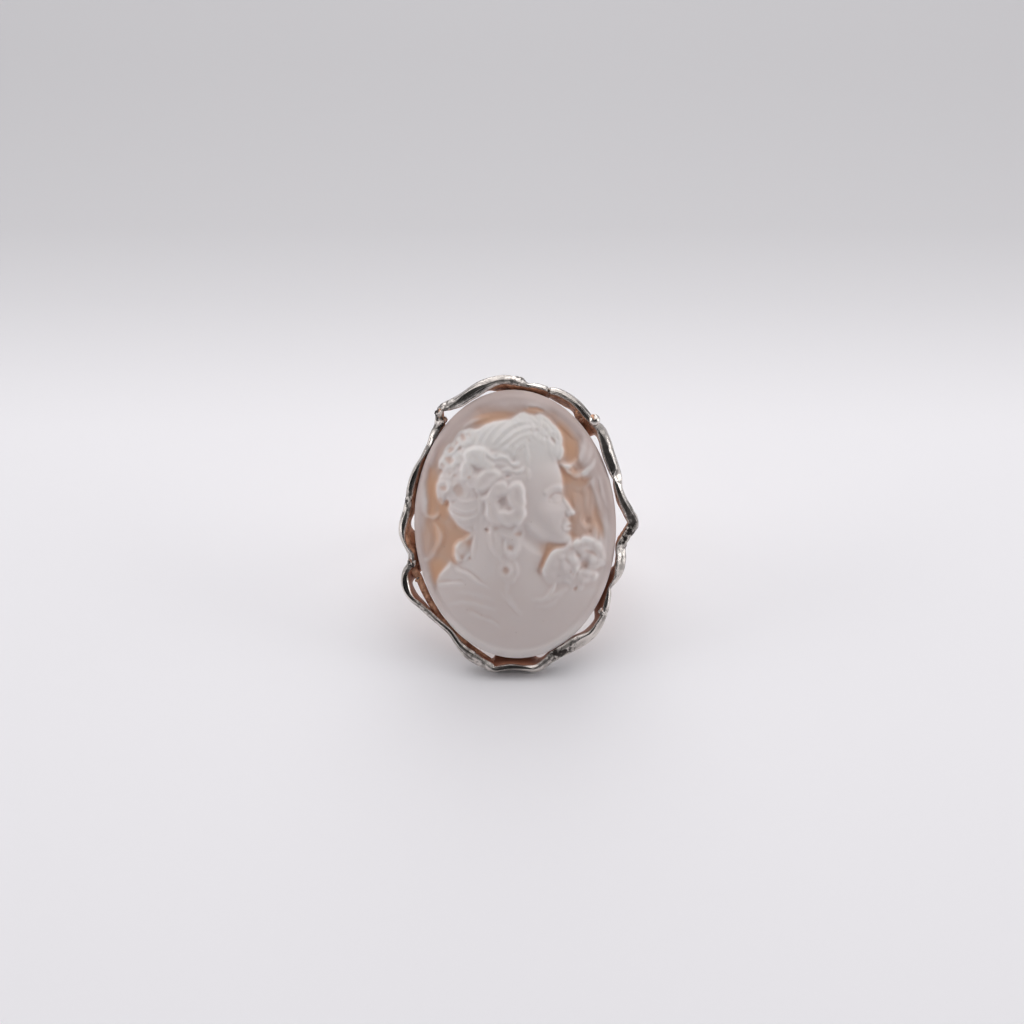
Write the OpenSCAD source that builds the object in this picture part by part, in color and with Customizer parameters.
// Cameo ring: a carved oval shell dome in a freeform branch frame, on a plain finger band.
// Lengths are in millimetres. The ring lies as on a table: on the frame's low edge and the band's back.

/* [Cameo] */
// Length of the shell's oval
cameo_length = 30; // [26:0.5:34]
// Width of the shell's oval
cameo_width = 22.5; // [20:0.5:25]
// Height of the shell's plain edge
girdle_height = 1.2; // [0.8:0.1:1.8]
// Rise of the dome above the edge
dome_rise = 2.7; // [2:0.1:3.6]
// Depth of the carved ground under the dome
carving_depth = 1.5; // [0.8:0.1:1.7]
// Width of the plain border round the carving
border_width = 1.5; // [1:0.1:2.5]
// Depth of the hollow in the back
back_hollow = 0.6; // [0:0.1:1]
// Height of the head from hairline to chin
face_height = 9.3; // [8:0.1:10]
// Forward lean of the head in degrees
head_tilt = 7; // [0:1:12]

/* [Branch frame] */
// Width of a twig at its thick middle
twig_width = 1.45; // [1:0.05:1.8]
// Height of the twigs above the back of the stone
twig_rise = 1.5; // [1:0.1:2]
// Depth of the twigs below the back of the stone
twig_drop = 1.1; // [0.9:0.1:1.6]
// Clearance between stone and metal, beside it
stone_gap = 0.1; // [0.05:0.01:0.2]
// Radius of the ball on the upper right
ball_radius = 0.62; // [0.4:0.02:0.8]
// Radius of the two small knobs
knob_radius = 0.45; // [0.3:0.05:0.5]
// Radius of the thin wire along the lower left
wire_radius = 0.33; // [0.25:0.01:0.4]
// Height of that wire's middle above the stone's back
wire_lift = 0.35; // [0.2:0.05:0.6]

/* [Seat] */
// Clearance between the stone's back and the seat
seat_gap = 0.08; // [0.05:0.01:0.2]
// Distance of the seat's edge inside the stone's edge
seat_inset = 0.4; // [0.2:0.1:0.8]
// Width of the seat
seat_width = 1.6; // [1.2:0.1:2.5]
// Thickness of the seat
seat_thickness = 1.1; // [0.8:0.1:1.5]

/* [Band] */
// Radius of the finger hole
finger_radius = 8.65; // [7.8:0.05:9.2]
// Thickness of the band
band_thickness = 1.6; // [1.2:0.1:2]
// Width of the band
band_width = 2.8; // [2:0.1:3.6]
// Clearance between the band and the stone's back
band_gap = 0.4; // [0.3:0.1:1]
// Width of the shoulders along the finger
shoulder_width = 3.6; // [2.8:0.1:4.2]

/* [Hidden] */
$fn = 96;
half_w = cameo_width / 2;
half_l = cameo_length / 2;
grid = 70;
back_grid = 5;
face_unit = face_height / 100;
hairline = [43 / 100 * half_w, 47 / 100 * half_l];
axis_drop = band_gap + band_thickness + finger_radius;
band_outer = finger_radius + band_thickness;

// Twig centres in percent of the half oval, breadth in percent of twig_width,
// lift in percent of twig_rise, foot in percent of the way in to the seat
// [across, up, breadth, lift, foot]
twigs = [
  [-74, 88, 62, 85, 0], [-67, 90, 76, 92, 0], [-57, 93, 96, 100, 0], [-48, 96.5, 108, 104, 0],
  [-39, 101.5, 108, 104, 0], [-29, 105.5, 102, 100, 0], [-15, 108, 105, 100, 0], [-3, 107.5, 108, 100, 0],
  [6, 106.5, 98, 100, 20], [11, 104, 66, 84, 70], [18, 104, 80, 86, 100], [26, 102, 84, 88, 100],
  [32, 100.5, 60, 78, 60], [36, 100.5, 80, 88, 0], [44, 98.5, 88, 94, 0], [53, 94, 86, 96, 0],
  [61, 88.5, 88, 96, 30], [68, 83, 86, 92, 100], [74, 78, 84, 90, 100], [79.5, 75, 84, 90, 100],
  [84, 71, 90, 96, 70], [89, 63, 106, 104, 0], [94, 53, 120, 108, 0], [99, 43, 112, 104, 0],
  [102.5, 35, 76, 92, 0], [103, 28, 74, 90, 0], [107, 19, 86, 98, 0], [113, 10, 98, 104, 0],
  [116.5, 1.5, 84, 100, 0], [113, -5, 84, 92, 0], [108.5, -10.5, 88, 90, 0], [105.5, -16, 84, 92, 0],
  [106, -23.5, 82, 98, 0], [104, -32, 86, 98, 40], [99.5, -39.5, 74, 90, 100], [94, -46, 48, 76, 100],
  [92.5, -52, 66, 84, 100], [91, -59, 82, 94, 100], [88.5, -66, 70, 86, 60], [84, -73.5, 76, 90, 0],
  [76, -81.5, 92, 98, 0], [65, -87, 110, 102, 0], [51, -92, 110, 100, 0], [40, -97, 94, 94, 0],
  [31, -102.5, 78, 90, 0], [21, -107, 76, 88, 40], [9, -105.5, 86, 92, 100], [-3, -105, 86, 92, 100],
  [-13, -106, 84, 90, 100], [-22, -107, 76, 88, 60], [-34, -102.5, 86, 92, 0], [-45, -96.5, 94, 96, 0],
  [-54, -88.5, 86, 94, 0], [-65, -79.5, 86, 94, 0], [-78, -69.5, 84, 92, 0], [-90, -60, 66, 84, 0],
  [-102, -53, 80, 92, 0], [-108.5, -44, 90, 98, 20], [-108.5, -36, 84, 92, 100], [-104, -29.5, 66, 80, 100],
  [-102.5, -22, 74, 88, 100], [-107.5, -14, 84, 94, 0], [-111, -6, 92, 98, 0], [-110, 2, 90, 96, 0],
  [-107.5, 11, 80, 90, 0], [-105.5, 19, 72, 88, 20], [-103, 29, 86, 96, 100], [-98, 40, 90, 98, 100],
  [-91, 50.5, 72, 88, 100], [-85, 60, 58, 82, 60], [-82.5, 68, 72, 90, 0], [-78.5, 75, 72, 90, 0],
  [-76.5, 81, 66, 86, 0]];

// Thin wire that hugs the lower left of the stone, in percent of the half oval
inner_wire = [
  [-107, -34], [-98, -41.5], [-92, -51], [-85.5, -58.5], [-78, -66], [-70, -74],
  [-60, -82.5], [-50, -90], [-40, -96], [-31, -101], [-22, -106.5]];

// Twig section: [out, up], up is a share of the rise above the seat's plane and of the drop below it
twig_section = [
  [1, 0.1], [0.86, 0.62], [0.4, 0.96], [-0.3, 1], [-0.82, 0.66],
  [-0.98, 0], [-0.9, -0.36], [-0.5, -1], [0.25, -1], [0.82, -0.5]];

// Profile of the face in percent of the face height: [down from the hairline, forward]
profile = [
  [0, 0], [10, 2.5], [22, 3.5], [31, 3], [37, 2], [46, 6], [55, 10.5], [62, 14], [65, 14], [67.5, 8],
  [70, 5.5], [75.5, 8.5], [78.3, 6], [81.5, 7.8], [86, 4.5], [90, 6.2], [95, 6.8], [100, 2], [101, -6],
  [99, -20]];

// Outline of the neck, shoulders and hair, in percent of the half oval
neck_outline = [
  [31, -22], [27, -29], [25, -35], [38, -38], [48, -43], [62, -52], [84, -58], [110, -60],
  [110, -125], [-110, -125], [-110, -70], [-86, -58]];
hair_outline = [
  [-80, -45], [-79, -38], [-70, -31], [-66, -26], [-58, -28], [-49, -21], [-43, -10], [-52, -4],
  [-60, 2], [-67, 9], [-70, 15], [-77, 18], [-80, 27], [-77, 37], [-78, 44], [-73, 53], [-64, 62],
  [-54, 70], [-44, 73], [-32, 75], [-18, 79], [-4, 81], [8, 85], [18, 84], [30, 82], [38, 76],
  [46, 70], [47, 61], [50, 54], [45, 48]];

// Raised strokes: three points of a curve in percent of the half oval, half width in
// percent of the half width, height in percent of the carving depth
hair_strokes = [
  [16, 79, -14, 80, -40, 69, 6, 30], [18, 73, -10, 72, -32, 58, 6, 32], [9, 65, -5, 63, -19, 52, 5.5, 28],
  [-34, 70, -46, 66, -52, 56, 6, 24], [-3, 80, 8, 87, 20, 82, 6.5, 32], [18, 81, 31, 84, 39, 74, 6.5, 34],
  [37, 75, 50, 70, 45, 58, 6.5, 38], [44, 60, 50, 52, 42, 46, 5.5, 30], [20, 73, 33, 71, 36, 58, 6, 22],
  [-30, 55, -20, 47, 2, 50, 6, 32], [-10, 42, 0, 47, 10, 42, 6, 28], [-30, 33, -10, 31, 9, 36, 5.5, 22],
  [-66, 10, -52, -2, -37, 11, 7, 38], [-58, 20, -48, 13, -38, 21, 6, 26], [-60, -1, -50, -6, -41, 1, 5.5, 28],
  [-75, 36, -68, 42, -60, 36, 6, 26], [-34, 12, -41, 0, -36, -14, 7, 28], [-26, 2, -31, -14, -16, -30, 7, 28],
  [-14, -3, -5, -8, 7, -7, 6, 26], [-44, -8, -52, -38, -61, -19, 7, 36]];
cloth_strokes = [
  [-62, -33, -44, -36, -26, -47, 6, 20], [-79, -43, -68, -38, -50, -44, 6, 18],
  [-68, -58, -46, -56, -18, -73, 6, 18], [26, -31, 37, -31, 39, -40, 6, 22],
  [39, -40, 43, -48, 36, -54, 6, 18], [18, -57, 40, -57, 62, -45, 6, 18], [-10, -54, 0, -63, 12, -69, 4.5, 12]];
scroll_strokes = [
  [44, 47, 52, 42, 58, 46, 6, 34], [60, 44, 77, 50, 73, 70, 7, 38], [54, 37, 66, 37, 80, 47, 7, 54],
  [56, 30, 66, 28, 74, 36, 5.5, 28], [76, 40, 78, 24, 84, 6, 6, 38], [88, 34, 84, 14, 90, -8, 6, 34],
  [78, 18, 74, 6, 79, -8, 5, 28], [65, 2, 71, -7, 77, 3, 5.5, 38], [-88, 40, -93, 20, -82, 5, 6, 30],
  [-76, 2, -70, -12, -83, -27, 6.5, 42], [-86, 0, -84, -14, -90, -26, 5.5, 22]];

// Curls: [across, up, radius, half width, height, depth of the hole], radii in percent of the half width
curls = [
  [-53, 65, 6.5, 5.5, 32, 44], [-65, 54, 7.5, 6, 34, 50], [-70, 27, 7.5, 5.5, 36, 50],
  [-55, 27, 8, 5.5, 28, 44], [-4, -15.5, 7.5, 5.5, 36, 55], [-8, -34, 6.5, 5.5, 34, 50],
  [-46, 62, 5, 5, 16, 10]];

// Petals: [across, up, long radius, short radius, turn, height], radii in percent of the half width
petals = [
  [-42, 51, 9, 7, 25, 40], [-28, 47.5, 8, 6, -35, 34], [-27, 37.5, 9, 6, 12, 34], [-42, 34, 8, 6, -20, 36],
  [-49, 43, 7, 6, 80, 34], [-17, 27, 9, 7, 35, 46], [0, 25.5, 9, 7, -25, 46], [2, 8.5, 9.5, 8, -10, 48],
  [-13, 5.5, 9, 7.5, 10, 44], [-24, 14, 7, 7, 20, 42]];
rose_petals = [
  [67, -13, 15, 9, 5, 58], [84, -20, 10, 11, -40, 50], [56, -29, 12, 12, -20, 64], [71, -39, 12, 9, 20, 54],
  [82, -32, 9, 9, -30, 44], [55, -45, 13, 9, 30, 46], [71, -49, 11, 8, 10, 36]];

// Hollows: [across, up, long radius, short radius, turn, depth]
hollows = [
  [-37, 42.5, 5, 4, 20, 26], [-12, 17, 7, 6, 10, 26], [68, -29, 7, 5, -10, 40], [35, 61, 5, 8, 25, 20],
  [-54, -20, 5, 5, -30, 40], [-20, 62, 4, 8, -40, 12]];

// Soft ground that rises from the deep ground: [across, up, long radius, short radius, turn, level]
rises = [
  [-20, 97, 90, 20, 0, 40], [78, 62, 22, 40, 20, 44], [72, 40, 22, 19, 20, 44], [90, 10, 16, 60, 0, 34],
  [-92, 30, 9, 64, 0, 34], [-90, -12, 14, 32, 0, 26], [72, -26, 34, 34, 0, 46], [72, 0, 14, 21, 0, 22],
  [40, 95, 60, 17, 0, 36], [-70, 80, 30, 27, 0, 34]];

// Face masses in percent of the face height: [forward, down, long radius, short radius, turn, height]
face_masses = [
  [-4, 16, 20, 20, 0, 8], [-7, 42, 13, 9, 0, -24], [-7, 43, 7, 5.5, 0, 20], [-6, 29, 13, 5, 0, 12],
  [4, 50, 6, 13, -20, 12], [7, 62, 8, 6, 0, 16], [-16, 58, 20, 18, 20, 14], [3, 75, 7, 4, 0, 12],
  [3, 82, 7, 4.5, 0, 12], [0, 94, 10, 8, 0, 12], [-24, 95, 22, 7, -24, 8]];

function ease(x) = let (t = max(0, min(1, x))) t * t * (3 - 2 * t);
function on_oval(q) = [q[0] / 100 * half_w, q[1] / 100 * half_l];
function in_oval(p, grow) = norm([p.x / (half_w + grow), p.y / (half_l + grow)]);
function push_out(p, grow) = let (r = in_oval(p, grow)) r < 1 ? p / r : p;
function oval(grow, n) = [for (i = [0:n - 1]) [(half_w + grow) * cos(360 * i / n), (half_l + grow) * sin(360 * i / n)]];

// Distance to a segment, and the signed depth inside a closed outline
function from_line(p, a, b) = let (d = b - a, t = max(0, min(1, ((p - a) * d) / (d * d)))) norm(p - a - t * d);
function crossings(p, q) = len([for (i = [0:len(q) - 1]) let (a = q[i], b = q[(i + 1) % len(q)])
  if ((a.y > p.y) != (b.y > p.y) && p.x < (b.x - a.x) * (p.y - a.y) / (b.y - a.y) + a.x) 1]);
function depth_in(p, q) = (crossings(p, q) % 2 == 1 ? 1 : -1)
  * min([for (i = [0:len(q) - 1]) from_line(p, q[i], q[(i + 1) % len(q)])]);

// Strokes as short polylines with the box that they reach
function bend(a, b, c, t) = (1 - t) * (1 - t) * a + 2 * t * (1 - t) * b + t * t * c;
function stroke(r) = let (
    a = on_oval([r[0], r[1]]), b = on_oval([r[2], r[3]]), c = on_oval([r[4], r[5]]),
    w = r[6] / 100 * half_w, line = [for (i = [0:4]) bend(a, b, c, i / 4)])
  [min([for (p = line) p.x]) - w, max([for (p = line) p.x]) + w,
   min([for (p = line) p.y]) - w, max([for (p = line) p.y]) + w, w, r[7], line];
function ridge(p, s) = p.x < s[0] || p.x > s[1] || p.y < s[2] || p.y > s[3] ? 0
  : s[5] * pow(max(0, 1 - pow(min([for (i = [0:3]) from_line(p, s[6][i], s[6][i + 1])]) / s[4], 2)), 1.4);
function lump(p, r) = let (
    d = p - on_oval(r), u = (d.x * cos(r[4]) + d.y * sin(r[4])) / (r[2] / 100 * half_w),
    v = (d.y * cos(r[4]) - d.x * sin(r[4])) / (r[3] / 100 * half_w))
  max(0, 1 - u * u - v * v);
function petal(p, r) = let (q = lump(p, r)) q <= 0 ? 0 : r[5] * sqrt(q) - 26 * max(0, q - 0.45) / 0.55;
function curl(p, r) = let (d = norm(p - on_oval(r)) / half_w * 100)
  d > r[2] + r[3] ? 0 : r[4] * max(0, 1 - pow((d - r[2]) / r[3], 2)) - r[5] * max(0, 1 - pow(d / (r[2] - 1), 2));
function mass(p, r) = let (
    d = p - hairline, f = (d.x * cos(head_tilt) + d.y * sin(head_tilt)) / face_unit - r[0],
    g = (d.x * sin(head_tilt) - d.y * cos(head_tilt)) / face_unit - r[1],
    u = (f * cos(r[4]) + g * sin(r[4])) / r[2], v = (g * cos(r[4]) - f * sin(r[4])) / r[3])
  1.3 * r[5] * pow(max(0, 1 - u * u - v * v), 1.5);
function sum(v, i = 0) = i < len(v) ? v[i] + sum(v, i + 1) : 0;

figure = concat(
  [for (q = profile) hairline + face_unit * [q[1] * cos(head_tilt) + q[0] * sin(head_tilt),
    q[1] * sin(head_tilt) - q[0] * cos(head_tilt)]],
  [for (q = neck_outline) on_oval(q)], [for (q = hair_outline) on_oval(q)]);
hair_lines = [for (r = hair_strokes) stroke(r)];
cloth_lines = [for (r = cloth_strokes) stroke(r)];
scroll_lines = [for (r = scroll_strokes) stroke(r)];

// Carved height in percent of the carving depth, 0 on the deep ground and 100 on the dome
function ground_level(p) = 0.8 * max([for (r = rises) r[5] * lump(p, r)])
  + max(max([for (s = scroll_lines) ridge(p, s)]), max([for (r = rose_petals) petal(p, r)]));
function figure_level(p, d) = let (
    lift = 1 - pow(1 - min(1, max(0, d) / 2.6), 2), flower = max([for (r = petals) petal(p, r)]))
  50 + 28 * lift + (flower > 4 ? flower : max([for (s = hair_lines) ridge(p, s)]))
  + sum([for (r = curls) curl(p, r)]) + max([for (s = cloth_lines) ridge(p, s)])
  + sum([for (r = face_masses) mass(p, r)]);
function level(p) = let (d = depth_in(p, figure), f = ease((d + 0.12) / 0.6))
  (1 - f) * ground_level(p) + f * figure_level(p, d) - sum([for (r = hollows) r[5] * lump(p, r)]);
function dome(p) = let (e = min(1, in_oval(p, 0)))
  girdle_height + dome_rise * (1 - 0.62 * pow(e, 2) - 0.38 * pow(e, 10));
function ground(p) = 0.9 * girdle_height + (dome_rise - carving_depth) * (1 - pow(in_oval(p, 0), 2));
function carved(p) = ease((1.02 - in_oval(p, -border_width * 0.6)) / 0.08);

// Oval grid of the carved top, a little closer over the head, with its levels smoothed
function spread(i) = 2 * i / grid - 1;
function rows(j) = let (t = spread(j)) t + 0.12 * (1 - t * t);
function clip(i) = max(0, min(grid, i));
flat_points = [for (j = [0:grid]) [for (i = [0:grid]) let (s = spread(i), t = rows(j))
  [half_w * s * sqrt(1 - t * t / 2), half_l * t * sqrt(1 - s * s / 2)]]];
levels = [for (q = flat_points) [for (p = q) carved(p) > 0 ? max(-12, min(110, level(p))) : 0]];
function smooth_level(i, j) = sum([for (v = [-1:1]) for (u = [-1:1])
  (u == 0 ? 4 : 1) * (v == 0 ? 4 : 1) * levels[clip(j + v)][clip(i + u)]]) / 36;
top_points = [for (j = [0:grid]) for (i = [0:grid]) let (p = flat_points[j][i])
  [p.x, p.y, dome(p) - carved(p) * (dome(p) - ground(p)) * (1 - smooth_level(i, j) / 100)]];
function at(i, j) = j * (grid + 1) + i;
rim = concat([for (i = [0:grid - 1]) at(i, 0)], [for (j = [0:grid - 1]) at(grid, j)],
  [for (i = [0:grid - 1]) at(grid - i, grid)], [for (j = [0:grid - 1]) at(0, grid - j)]);
rim_n = len(rim);
back_n = rim_n / back_grid;
top_n = len(top_points);

// The edge's two rings, then two coarser rings and the middle of the hollow back
function under(share, up, step) = [for (i = [0:step:rim_n - 1]) let (p = top_points[rim[i]])
  [p.x * share, p.y * share, up]];
shell_points = concat(top_points, under(1, 0.25 * girdle_height, 1), under(0.975, 0, 1),
  under(0.84, 0, back_grid), under(0.5, back_hollow * 0.75, back_grid), [[0, 0, back_hollow]]);
function ring_at(k, i) = k == 0 ? rim[i % rim_n] : top_n + (k - 1) * rim_n + i % rim_n;
function back_at(k, i) = top_n + 2 * rim_n + k * back_n + i % back_n;
top_faces = [for (j = [0:grid - 1]) for (i = [0:grid - 1]) each
  let (a = at(i, j), b = at(i + 1, j), c = at(i + 1, j + 1), d = at(i, j + 1))
  spread(i + 0.5) * spread(j + 0.5) > 0 ? [[a, c, b], [a, d, c]] : [[a, d, b], [b, d, c]]];
side_faces = [for (k = [0:1]) for (i = [0:rim_n - 1]) each
  let (a = ring_at(k, i), b = ring_at(k, i + 1), c = ring_at(k + 1, i + 1), d = ring_at(k + 1, i))
  [[a, b, c], [a, c, d]]];
back_faces = [for (i = [0:back_n - 1]) each
  let (a = back_at(0, i), b = back_at(0, i + 1), c = back_at(1, i + 1), d = back_at(1, i))
  concat([for (k = [0:back_grid - 1]) [ring_at(2, i * back_grid + k), ring_at(2, i * back_grid + k + 1), a]],
    [[ring_at(2, (i + 1) * back_grid), b, a], [a, b, c], [a, c, d], [d, c, back_at(2, 0)]])];

// Closed sweep of the twig section, with a smooth row between each pair in the table
twig_n = len(twigs);
side_n = len(twig_section);
function twig(i) = twigs[(i + twig_n) % twig_n];
path = [for (i = [0:twig_n - 1]) each
  [twig(i), (9 * (twig(i) + twig(i + 1)) - twig(i - 1) - twig(i + 2)) / 16]];
path_n = len(path);
function outward(i) = let (
    t = on_oval(path[(i + 1) % path_n]) - on_oval(path[(i + path_n - 1) % path_n])) [-t.y, t.x] / norm(t);
function twig_ring(i) = let (q = path[i], c = on_oval(q), n = outward(i), w = q[2] / 200 * twig_width)
  [for (k = [0:side_n - 1]) let (
      s = twig_section[k], foot = (k == 6 || k == 7) ? max(0, min(1, q[4] / 100)) : 0,
      free = push_out(c + n * s[0] * w, stone_gap), seat = c / in_oval(c, -seat_inset - 0.5),
      p = free + foot * (seat - free))
    [p.x, p.y, s[1] > 0 ? s[1] * twig_rise * q[3] / 100 : s[1] * twig_drop - seat_gap]];
frame_points = [for (i = [0:path_n - 1]) each twig_ring(i)];
frame_faces = [for (i = [0:path_n - 1]) for (k = [0:side_n - 1]) each
  let (a = i * side_n + k, b = i * side_n + (k + 1) % side_n,
    c = (i + 1) % path_n * side_n + (k + 1) % side_n, d = (i + 1) % path_n * side_n + k)
  [[a, c, b], [a, d, c]]];

// Open sweep of the thin wire, kept clear of the stone's edge
wire_n = len(inner_wire);
wire_sides = 8;
function wire_at(i) = push_out(on_oval(inner_wire[max(0, min(wire_n - 1, i))]), wire_radius + stone_gap * 1.3);
wire_points = concat(
  [for (i = [0:wire_n - 1]) each let (c = wire_at(i), t = wire_at(i + 1) - wire_at(i - 1),
    n = [-t.y, t.x] / norm(t)) [for (k = [0:wire_sides - 1]) let (a = 360 * k / wire_sides)
      [c.x + n.x * wire_radius * cos(a), c.y + n.y * wire_radius * cos(a), wire_lift + wire_radius * sin(a)]]],
  [[wire_at(0).x, wire_at(0).y, wire_lift], [wire_at(wire_n).x, wire_at(wire_n).y, wire_lift]]);
wire_faces = concat(
  [for (i = [0:wire_n - 2]) for (k = [0:wire_sides - 1]) each
    let (a = i * wire_sides + k, b = i * wire_sides + (k + 1) % wire_sides, c = b + wire_sides, d = a + wire_sides)
    [[a, b, c], [a, c, d]]],
  [for (k = [0:wire_sides - 1]) [(k + 1) % wire_sides, k, wire_n * wire_sides]],
  [for (k = [0:wire_sides - 1]) let (e = (wire_n - 1) * wire_sides)
    [e + k, e + (k + 1) % wire_sides, wire_n * wire_sides + 1]]);

// Lean that sets the frame's low edge and the band's back on one plane
band_section = [
  [finger_radius, -band_width / 2], [finger_radius + band_thickness * 0.55, -band_width / 2],
  [band_outer - band_thickness * 0.12, -band_width * 0.32], [band_outer, -band_width * 0.1],
  [band_outer, band_width * 0.1], [band_outer - band_thickness * 0.12, band_width * 0.32],
  [finger_radius + band_thickness * 0.55, band_width / 2], [finger_radius, band_width / 2]];
function low_frame(a) = min([for (p = frame_points) p.y * cos(a) + p.z * sin(a)]);
function low_band(a) = min([for (s = band_section) s[1] * cos(a) - (axis_drop + s[0]) * sin(a)]);
function settle(lo, hi, n) = let (m = (lo + hi) / 2)
  n == 0 ? m : low_frame(m) < low_band(m) ? settle(m, hi, n - 1) : settle(lo, m, n - 1);
lean = settle(5, 85, 24);
box_x = [min([for (p = frame_points) p.x]), max([for (p = frame_points) p.x])];
box_y = [min([for (p = concat(frame_points, top_points)) p.y * sin(lean) - p.z * cos(lean)]),
  max([for (s = band_section) s[1] * sin(lean) + (axis_drop + s[0]) * cos(lean)])];

module lay() {
  translate([-(box_x[0] + box_x[1]) / 2, -(box_y[0] + box_y[1]) / 2, -low_frame(lean)])
    rotate([90 - lean, 0, 0]) children();
}

module branch() {
  polyhedron(frame_points, frame_faces, convexity = 12);
  polyhedron(wire_points, wire_faces, convexity = 6);
  translate([each on_oval([81, 79]), twig_rise * 0.5]) sphere(ball_radius, $fn = 32);
  translate([each push_out(on_oval([61, 82]), stone_gap + knob_radius), twig_rise * 0.6]) sphere(knob_radius, $fn = 32);
  translate([each push_out(on_oval([-71, 80]), stone_gap + knob_radius), twig_rise * 0.5]) sphere(knob_radius, $fn = 32);
}

module band() {
  translate([0, 0, -axis_drop]) rotate([90, 0, 0]) rotate_extrude() polygon(band_section);
}

module seat() {
  translate([0, 0, -seat_gap - seat_thickness]) linear_extrude(seat_thickness) difference() {
    polygon(oval(-seat_inset, 72));
    polygon(oval(-seat_inset - seat_width, 72));
  }
}

// Solid corners between the band and the seat, wider towards the seat, hollowed by the finger hole
module shoulders() {
  top = axis_drop - seat_gap - seat_thickness * 0.4;
  out = half_w - seat_inset - 0.05;
  edge = [for (i = [0:8]) [band_outer - 0.1 + (out - band_outer + 0.1) * ease(i / 8), top * i / 8]];
  corner = concat([[band_outer - 0.6, 0]], edge, [[out - seat_width - 1.2, top],
    [out - seat_width - 2.4, top - 0.7], [out - seat_width - 3.6, top - 1.9], [out - seat_width - 3.9, top - 2.9]]);
  translate([0, 0, -axis_drop]) intersection() {
    rotate([90, 0, 0]) translate([0, 0, -shoulder_width]) linear_extrude(2 * shoulder_width) difference() {
      for (side = [-1, 1]) polygon([for (q = corner) [side * q[0], q[1]]]);
      circle(finger_radius);
    }
    rotate([90, 0, 90]) translate([0, 0, -cameo_width]) linear_extrude(2 * cameo_width) polygon([
      [-band_width * 0.42, -1], [band_width * 0.42, -1], [band_width * 0.46, top * 0.4],
      [shoulder_width / 2, top], [-shoulder_width / 2, top], [-band_width * 0.46, top * 0.4]]);
  }
}

module ring_mount() color("silver") lay() union() {
  branch();
  seat();
  shoulders();
  band();
}

module cameo() color("peachpuff") lay()
  polyhedron(shell_points, concat(top_faces, side_faces, back_faces), convexity = 8);

ring_mount();
cameo();
